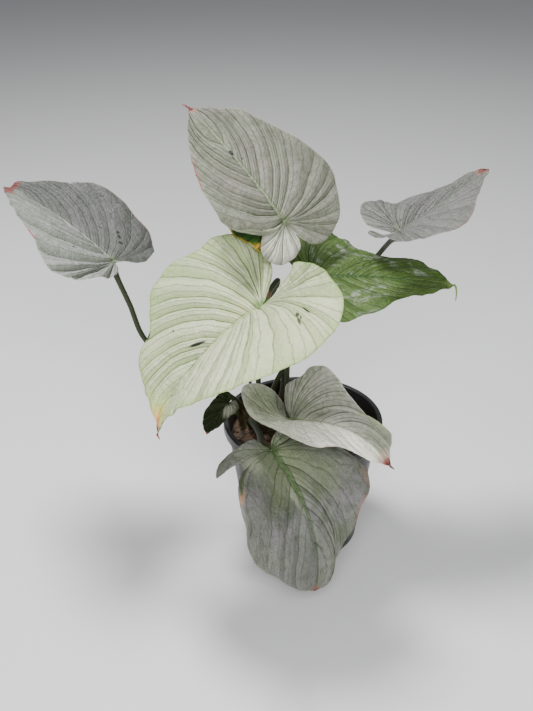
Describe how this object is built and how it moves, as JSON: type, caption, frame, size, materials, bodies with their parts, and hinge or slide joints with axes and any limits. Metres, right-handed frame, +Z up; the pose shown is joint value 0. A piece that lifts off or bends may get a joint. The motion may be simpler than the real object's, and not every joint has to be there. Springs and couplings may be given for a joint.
{
  "type": "potted variegated philodendron",
  "caption": "Climbing aroid with heart-shaped, quilted, silver and cream leaves on long petioles, rising from a creeping stem in bark mix in a plain round nursery pot.",
  "frame": {"origin": "centre of the pot's flat underside", "axes": "+Z up, +X to the viewer's right in the picture, +Y away from the viewer"},
  "size_m": [0.4051, 0.2642, 0.3775],
  "materials": {
    "leaf_cream": "satin leaf",
    "leaf_silver": "satin leaf",
    "leaf_mottled": "satin leaf",
    "leaf_green": "satin leaf",
    "leaf_dark": "satin leaf",
    "petiole": "smooth stalk",
    "stem": "rough stem",
    "bark_mix": "loose bark potting mix",
    "pot_plastic": "matt"
  },
  "bodies": {
    "root": {"blade_front": "leaf_cream", "blade_top": "leaf_silver", "blade_left": "leaf_silver", "blade_right": "leaf_silver", "blade_green": "leaf_green", "blade_mid": "leaf_mottled", "blade_bottom": "leaf_mottled", "blade_small": "leaf_dark", "blade_old": "leaf_dark", "petiole_front": "petiole", "petiole_top": "petiole", "petiole_left": "petiole", "petiole_right": "petiole", "petiole_green": "petiole", "petiole_mid": "petiole", "petiole_bottom": "petiole", "petiole_small": "petiole", "petiole_old": "petiole", "stem": "stem", "soil": "bark_mix", "pot": "pot_plastic"}
  },
  "joints": []
}
